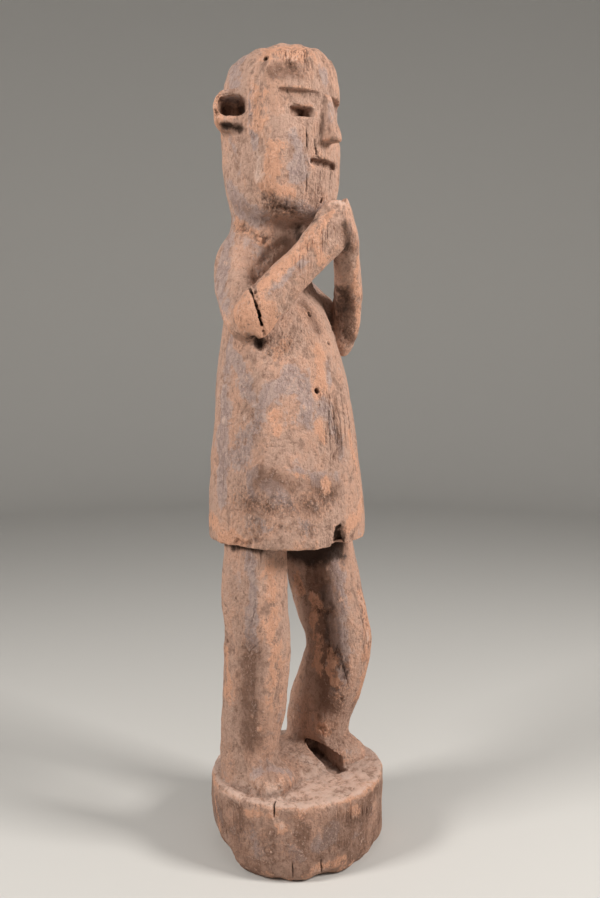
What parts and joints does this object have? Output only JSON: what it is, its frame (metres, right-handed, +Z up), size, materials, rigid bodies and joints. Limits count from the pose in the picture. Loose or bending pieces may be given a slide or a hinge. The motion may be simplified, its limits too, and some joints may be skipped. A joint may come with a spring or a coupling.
{
  "type": "wooden ancestor figure",
  "caption": "Tall weathered wooden ancestor figure in a flared tunic, hands pressed together under the chin, knees slightly bent, cut from one log with its round plinth",
  "frame": {"origin": "middle of the plinth's underside", "axes": "+Z up, the figure faces -Y, its right side at -X"},
  "size_m": [0.2241, 0.2199, 0.9999],
  "materials": {
    "weathered_wood": "dry weathered wood, worn smooth in places, cracked and eroded, with dark grime in the recesses"
  },
  "bodies": {
    "root": {"ancestor_figure": "weathered_wood"}
  },
  "joints": []
}
